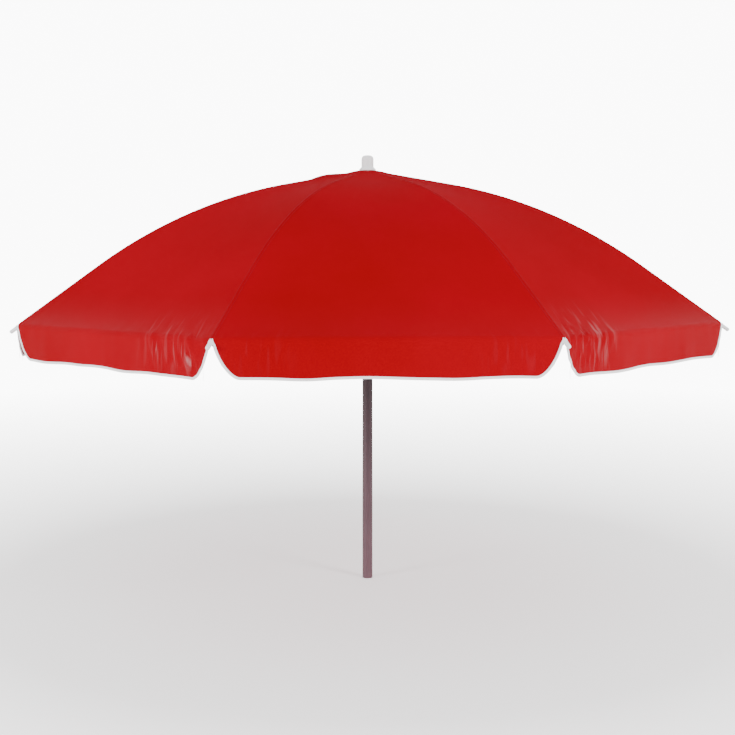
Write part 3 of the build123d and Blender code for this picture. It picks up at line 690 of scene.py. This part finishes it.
# The plain weave, and the long glints along the creases where the coating catches the light.
threads_scale = 420.0
glint_scale = (85.0, 11.0, 1.0)
glint_leans = (0.30, -0.22)
glint_coat = 0.65
weave = add_node(cloth, "ShaderNodeTexWave", wave_type="BANDS", bands_direction="X")
weave_across = add_node(cloth, "ShaderNodeTexWave", wave_type="BANDS", bands_direction="Y")
weave_sum = add_node(cloth, "ShaderNodeMath", operation="MULTIPLY")
for node in (weave, weave_across):
    node.inputs["Scale"].default_value = threads_scale
    wire(cloth, cloth_places.outputs["UV"], node.inputs["Vector"])
wire(cloth, weave.outputs["Fac"], weave_sum.inputs[0])
wire(cloth, weave_across.outputs["Fac"], weave_sum.inputs[1])
creased = add_node(cloth, "ShaderNodeAttribute", attribute_name="creased")
streaks = []
for lean in glint_leans:
    along_fold = add_node(cloth, "ShaderNodeMapping")
    along_fold.inputs["Rotation"].default_value = (0, 0, lean)
    along_fold.inputs["Scale"].default_value = glint_scale
    fold_noise = add_node(cloth, "ShaderNodeTexNoise")
    fold_noise.inputs["Scale"].default_value = 1.0
    fold_noise.inputs["Detail"].default_value = 1.0
    wire(cloth, cloth_places.outputs["UV"], along_fold.inputs["Vector"])
    wire(cloth, along_fold.outputs["Vector"], fold_noise.inputs["Vector"])
    streaks.append(ramp(cloth, fold_noise.outputs[0], 0.58, 0.68, 0, 1))
streak = add_node(cloth, "ShaderNodeMath", operation="MAXIMUM")
wire(cloth, streaks[0], streak.inputs[0])
wire(cloth, streaks[1], streak.inputs[1])
shine = add_node(cloth, "ShaderNodeMath", operation="MULTIPLY")
wire(cloth, streak.outputs[0], shine.inputs[0])
wire(cloth, creased.outputs["Fac"], shine.inputs[1])
wire(cloth, ramp(cloth, shine.outputs[0], 0, 1, 0, glint_coat), cloth_shader.inputs["Coat Weight"])
cloth_shader.inputs["Coat Roughness"].default_value = 0.3
relief_sum = add_node(cloth, "ShaderNodeMath", operation="MULTIPLY_ADD")
relief_sum.inputs[1].default_value = 0.06
wire(cloth, weave_sum.outputs[0], relief_sum.inputs[0])
wire(cloth, shine.outputs[0], relief_sum.inputs[2])
bump(cloth, cloth_shader, relief_sum.outputs[0], 0.6, 0.0012)


def fold_wing(piece):
    """Gives a piece that lies on a wing its own copy of its mesh."""
    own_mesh(piece)


for n in rib_numbers:
    band_limit = np.minimum(row_half, band_edge)
    band_inner = np.minimum(edge_by_row, band_limit)
    band = skin_mesh(
        f"canopy_band_{n}",
        [cloth_part(n, side, band_inner, band_limit, band_columns, 0) for side in (1, -1)],
    )
    band.materials.append(cloth)
    band_piece = place_object(f"canopy_band_{n}", band)
    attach(band_piece, f"rib_{n}")
    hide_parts(f"canopy_gore_{n}")
    for side, side_name in ((1, "left"), (-1, "right")):
        wing_inner = np.maximum(edge_by_row, np.minimum(row_half, band_edge))
        wing = skin_mesh(
            f"canopy_wing_{n}_{side_name}",
            [cloth_part(n, side, wing_inner, row_half, wing_columns, wing_first)],
        )
        wing.materials.append(cloth)
        wing_piece = place_object(f"canopy_wing_{n}_{side_name}", wing)
        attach(wing_piece, f"rib_{n}")
        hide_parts(f"canopy_gore_{n}")
        fold_wing(wing_piece)

# ---------------------------------------------------------------- binding
# White folded tape, 5 mm to a side, stitched over the cut edge of the valance: down one side of
# each notch and along the lower edge to the middle of the panel, on both halves.
tape_width = 5.2 * millimetre
tape_half_thickness = 1.0 * millimetre
tape_round = 0.8 * millimetre


def valance_edge():
    """The cut edge of half a valance, from the notch's top: distances from the rib and the hole."""
    hang = np.sin(np.linspace(0.03, math.pi / 2, 26))
    bend_end = row_run[np.argmax(row_hang > 0) - 1]
    out = notch_edge(hang)
    down = bend_end + (full_run - bend_end) * hang
    tuck = np.array([0.010, 0.004])
    along = np.linspace(out[-1], row_half[-1], 36)[1:]
    out = np.concatenate([[0.5 * millimetre, 2.0 * millimetre], out, along])
    return out, np.concatenate([bend_end - tuck, down, np.full(len(along), full_run)])


def tape_profile():
    """The folded tape's section: distance in from the cut edge, and height off the cloth."""
    corner = [
        (tape_round * (1 - math.sin(a)), tape_half_thickness - tape_round * (1 - math.cos(a)))
        for a in np.linspace(0, math.pi / 2, 4)
    ]
    upper = [
        (tape_width, tape_half_thickness * 0.55),
        (tape_width - tape_round, tape_half_thickness),
        (tape_width * 0.5, tape_half_thickness * 1.04),
    ]
    upper += corner
    lower = [(d, -h) for d, h in reversed(upper)]
    return np.array(upper + lower)


def sweep_edge(rib, side, out, down, profile):
    """Rings of points along an edge of the cloth, one ring of the profile at each place."""
    step_out, step_down = np.gradient(out), np.gradient(down)
    length = np.hypot(step_out, step_down)
    in_out, in_down = step_down / length, -step_out / length
    grow = 0.35 + 0.65 * smooth_step((down - down[0]) / 0.014)
    rings = []
    for d, h in profile:
        reach = d * grow
        places = cloth_points(rib, side, down + in_down * reach, np.abs(out + in_out * reach), h)
        rings.append(places)
    return np.stack(rings, 1)


def tube_mesh(work, rings, flip):
    """A closed tube through rings of points, with flat ends."""
    count = rings.shape[1]
    verts = [[work.verts.new(p) for p in ring] for ring in rings]
    for a, b in zip(verts[:-1], verts[1:]):
        for j in range(count):
            k = (j + 1) % count
            corners = [a[j], a[k], b[k], b[j]]
            work.faces.new(corners[::-1] if flip else corners).smooth = True
    for ring, turn in ((verts[0], True), (verts[-1], False)):
        end = work.faces.new(ring[::-1] if turn != flip else ring)
        for edge in end.edges:
            edge.smooth = False


def finished_mesh(work, name, material):
    """A mesh with its faces outwards and its material, from a bmesh that is done with."""
    bmesh.ops.recalc_face_normals(work, faces=work.faces)
    mesh = bpy.data.meshes.new(name)
    work.to_mesh(mesh)
    work.free()
    mesh.materials.append(material)
    return mesh


tape, tape_shader = new_material("binding_tape", (0.93, 0.90, 0.92), 0.62)
tape_grain = add_surface(tape, 1600.0, 60.0, 0.6)
tape_dark = (0.90, 0.86, 0.88)
tape_light = (0.96, 0.94, 0.95)
tint(tape, tape_shader, tape_grain.outputs["Mixed"], 0.3, 0.7, tape_dark, tape_light)
bump(tape, tape_shader, tape_grain.outputs["Grain"], 0.35, 0.0004)
tape_shader.inputs["Sheen Weight"].default_value = 0.2

edge_out, edge_down = valance_edge()
cut = int(np.argmax(edge_out > band_edge))
tape_section = tape_profile()
for n in rib_numbers:
    strips = bmesh.new()
    for side in (1, -1):
        rings = sweep_edge(n, side, edge_out, edge_down, tape_section)[: cut + 1]
        tube_mesh(strips, rings, side < 0)
    top_tape = place_object(f"binding_notch_{n}", finished_mesh(strips, f"binding_notch_{n}", tape))
    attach(top_tape, f"rib_{n}")
    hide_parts(f"binding_{n}")
    for side, side_name in ((1, "left"), (-1, "right")):
        strips = bmesh.new()
        rings = sweep_edge(n, side, edge_out, edge_down, tape_section)[cut:]
        tube_mesh(strips, rings, side < 0)
        edge_tape = place_object(
            f"binding_{n}_{side_name}", finished_mesh(strips, f"binding_{n}_{side_name}", tape)
        )
        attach(edge_tape, f"rib_{n}")
        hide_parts(f"binding_{n}")
        fold_wing(edge_tape)

# ---------------------------------------------------------------- stitches
# Polyester thread, lockstitched: two rows along every rib's felled seam, in dark red, and one row
# round the binding, in white. Each stitch is a short oval bead of thread lying on the cloth.
stitch_pitch = 3.2 * millimetre
stitch_length = 2.5 * millimetre
stitch_thickness = 0.55 * millimetre


def stitch_tree():
    """Geometry nodes that lay a stitch at every pitch along the lines of a mesh."""
    tree = bpy.data.node_groups.new("stitches", "GeometryNodeTree")
    side = tree.interface
    side.new_socket("Lines", in_out="INPUT", socket_type="NodeSocketGeometry")
    for name in ("Pitch", "Length", "Thickness"):
        side.new_socket(name, in_out="INPUT", socket_type="NodeSocketFloat")
    side.new_socket("Thread", in_out="INPUT", socket_type="NodeSocketMaterial")
    side.new_socket("Stitches", in_out="OUTPUT", socket_type="NodeSocketGeometry")
    made = {
        name: tree.nodes.new(kind)
        for name, kind in (
            ("in", "NodeGroupInput"),
            ("out", "NodeGroupOutput"),
            ("curve", "GeometryNodeMeshToCurve"),
            ("space", "GeometryNodeResampleCurve"),
            ("bead", "GeometryNodeMeshUVSphere"),
            ("size", "ShaderNodeCombineXYZ"),
            ("oval", "GeometryNodeTransform"),
            ("tangent", "GeometryNodeInputTangent"),
            ("turn", "FunctionNodeAlignRotationToVector"),
            ("lay", "GeometryNodeInstanceOnPoints"),
            ("real", "GeometryNodeRealizeInstances"),
            ("smooth", "GeometryNodeSetShadeSmooth"),
            ("thread", "GeometryNodeSetMaterial"),
        )
    }
    made["space"].mode = "LENGTH"
    made["bead"].inputs["Segments"].default_value = 6
    made["bead"].inputs["Rings"].default_value = 4
    made["bead"].inputs["Radius"].default_value = 0.5
    made["turn"].axis = "X"

    def join(a, out, b, into):
        tree.links.new(made[a].outputs[out], made[b].inputs[into])

    join("in", "Lines", "curve", "Mesh")
    join("curve", "Curve", "space", "Curve")
    join("in", "Pitch", "space", "Length")
    join("in", "Length", "size", "X")
    join("in", "Thickness", "size", "Y")
    join("in", "Thickness", "size", "Z")
    join("bead", "Mesh", "oval", "Geometry")
    join("size", "Vector", "oval", "Scale")
    join("tangent", "Tangent", "turn", "Vector")
    join("space", "Curve", "lay", "Points")
    join("oval", "Geometry", "lay", "Instance")
    join("turn", "Rotation", "lay", "Rotation")
    join("lay", "Instances", "real", "Geometry")
    join("real", "Geometry", "smooth", "Geometry")
    join("smooth", "Geometry", "thread", "Geometry")
    join("in", "Thread", "thread", "Material")
    join("thread", "Geometry", "out", "Stitches")
    return tree


stitches = stitch_tree()
stitch_inputs = {
    item.name: item.identifier
    for item in stitches.interface.items_tree
    if item.in_out == "INPUT"
}


def sew(name, lines, thread):
    """A plain mesh of the stitches along some lines of points."""
    points, edges = [], []
    for line in lines:
        edges += [(len(points) + i, len(points) + i + 1) for i in range(len(line) - 1)]
        points += [tuple(p) for p in line]
    guide = bpy.data.meshes.new(name + "_guide")
    guide.from_pydata(points, edges, [])
    row = place_object(name, guide)
    sewing = row.modifiers.new("stitches", "NODES")
    sewing.node_group = stitches
    sewing[stitch_inputs["Pitch"]] = stitch_pitch
    sewing[stitch_inputs["Length"]] = stitch_length
    sewing[stitch_inputs["Thickness"]] = stitch_thickness
    sewing[stitch_inputs["Thread"]] = thread
    ready = bpy.context.evaluated_depsgraph_get()
    sewn = bpy.data.meshes.new_from_object(row.evaluated_get(ready))
    row.modifiers.clear()
    row.data = sewn
    bpy.data.meshes.remove(guide)
    return row


red_thread, red_thread_shader = new_material("red_thread", (0.15, 0.0, 0.003), 0.7)
red_twist = add_surface(red_thread, 2600.0, 400.0, 0.7)
red_thread_dark = (0.10, 0.0, 0.002)
red_thread_light = (0.19, 0.0, 0.005)
tint(
    red_thread,
    red_thread_shader,
    red_twist.outputs["Mixed"],
    0.3,
    0.7,
    red_thread_dark,
    red_thread_light,
)
white_thread, white_thread_shader = new_material("white_thread", (0.90, 0.88, 0.89), 0.7)
white_twist = add_surface(white_thread, 2600.0, 400.0, 0.7)
white_thread_dark = (0.78, 0.75, 0.77)
white_thread_light = (0.95, 0.93, 0.94)
tint(
    white_thread,
    white_thread_shader,
    white_twist.outputs["Mixed"],
    0.3,
    0.7,
    white_thread_dark,
    white_thread_light,
)

seam_run = np.linspace(0.055, rim_run + 0.012, 120)
seam_row = np.full(len(seam_run), 3.6 * millimetre)
seam_lift = cloth_thickness / 2 + 0.1 * millimetre
hem_profile = [(tape_width - 1.3 * millimetre, tape_half_thickness * 1.02)]
for n in rib_numbers:
    rows = [cloth_points(n, side, seam_run, seam_row, seam_lift) for side in (1, -1)]
    seam = sew(f"seam_stitches_{n}", rows, red_thread)
    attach(seam, f"rib_{n}")
    hems = {side: sweep_edge(n, side, edge_out, edge_down, hem_profile)[:, 0] for side in (1, -1)}
    notch_rows = [hems[side][3 : cut + 1] for side in (1, -1)]
    notch_hem = sew(f"notch_stitches_{n}", notch_rows, white_thread)
    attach(notch_hem, f"rib_{n}")
    for side, side_name in ((1, "left"), (-1, "right")):
        hem = sew(f"hem_stitches_{n}_{side_name}", [hems[side][cut:]], white_thread)
        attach(hem, f"rib_{n}")
        fold_wing(hem)

# ---------------------------------------------------------------- rib ties
# Loops of the canopy's own cloth, three on each rib, that are sewn to the seam allowance and go
# round the rod, so that the cloth can't lift off its rib in the wind.
tie_places = (0.130, 0.540, 0.760)
tie_width = 12 * millimetre
tie_inside = 3.1 * millimetre
tie_cloth = 0.6 * millimetre
tie_sewn_over = 0.9 * millimetre
tie_sides = 20


def tie_ring(reach):
    """One closed turn of a tie round the rod: places sideways and up from the rod's middle."""
    angles = np.linspace(0, 2 * math.pi, tie_sides + 1)[:-1]
    return [
        (reach * math.cos(a), reach * math.sin(a) + tie_sewn_over * max(math.sin(a), 0))
        for a in angles
    ]


def add_tie(work, rib, place):
    """One loop of cloth round a rib's rod, at a distance along the rib."""
    turn = rib_turn(rib)
    out = np.array([math.cos(turn), math.sin(turn), 0])
    across = np.array([-math.sin(turn), math.cos(turn), 0])
    up = np.array([0, 0, 1])
    r, z, slope = (float(v[0]) for v in rib_section(np.array([place])))
    down_rib = math.cos(slope) * out - math.sin(slope) * up
    off_rib = math.sin(slope) * out + math.cos(slope) * up
    rod = r * out + z * up - cloth_lift * off_rib
    loops = [
        [
            work.verts.new(rod + end * tie_width / 2 * down_rib + s * across + u * off_rib)
            for s, u in tie_ring(reach)
        ]
        for end in (-1, 1)
        for reach in (tie_inside + tie_cloth, tie_inside)
    ]
    outer_start, inner_start, outer_end, inner_end = loops
    for first, second, rim in (
        (outer_start, outer_end, False),
        (inner_end, inner_start, False),
        (inner_start, outer_start, True),
        (outer_end, inner_end, True),
    ):
        for k in range(tie_sides):
            m = (k + 1) % tie_sides
            face = work.faces.new([first[k], first[m], second[m], second[k]])
            face.smooth = not rim
            for edge in face.edges if rim else ():
                edge.smooth = False


for n in rib_numbers:
    ties = bmesh.new()
    for place in tie_places:
        add_tie(ties, n, place)
    tie_piece = place_object(f"rib_ties_{n}", finished_mesh(ties, f"rib_ties_{n}", cloth))
    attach(tie_piece, f"rib_{n}")
